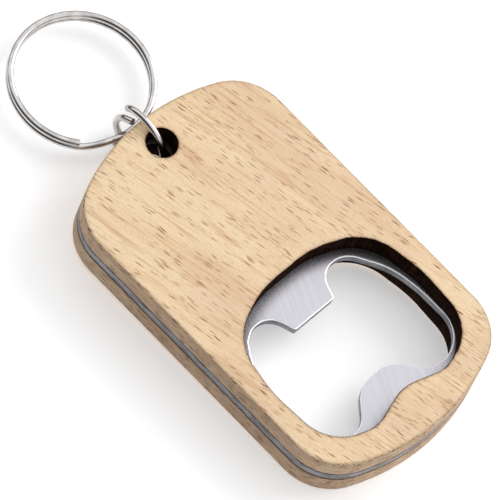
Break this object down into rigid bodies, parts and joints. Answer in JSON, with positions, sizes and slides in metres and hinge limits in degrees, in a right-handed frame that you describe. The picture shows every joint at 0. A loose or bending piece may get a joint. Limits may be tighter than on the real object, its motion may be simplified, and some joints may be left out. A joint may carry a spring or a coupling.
{
  "type": "keychain bottle opener",
  "caption": "Flat bottle opener: a stamped steel plate glued between two wood panels, with a jump ring and a split key ring",
  "frame": {"origin": "on the back face, at the point named by the back_face mount, on the solid grip between the ring hole and the cap opening", "axes": "X is the width, +Y points to the ring end, +Z points out of the front face"},
  "size_m": [0.04, 0.0914, 0.0123],
  "materials": {
    "wood": "sanded rubberwood, unvarnished, with short brown pores and laser-burnt edges",
    "glue_film": "thin dark line of glue film",
    "plate_steel": "finely brushed stainless steel",
    "ring_nickel": "polished nickel plating"
  },
  "bodies": {
    "opener_body": {"back_wood_panel": "wood", "back_glue_film": "glue_film", "opener_plate": "plate_steel", "front_glue_film": "glue_film", "front_wood_panel": "wood"},
    "jump_ring": {"jump_ring": "ring_nickel"},
    "key_ring": {"key_ring": "ring_nickel"}
  },
  "joints": [
    {"name": "jump_ring_swing", "type": "hinge", "parent": "opener_body", "child": "jump_ring", "pos_m": [0, 0.01535, 0.00455], "axis": [0, 0, 1], "range_deg": [-4, 16]},
    {"name": "key_ring_flip", "type": "hinge", "parent": "jump_ring", "child": "key_ring", "pos_m": [0.00066, 0.02173, 0.00122], "axis": [0.9954, -0.0958, 0], "range_deg": [-85, 85]}
  ]
}
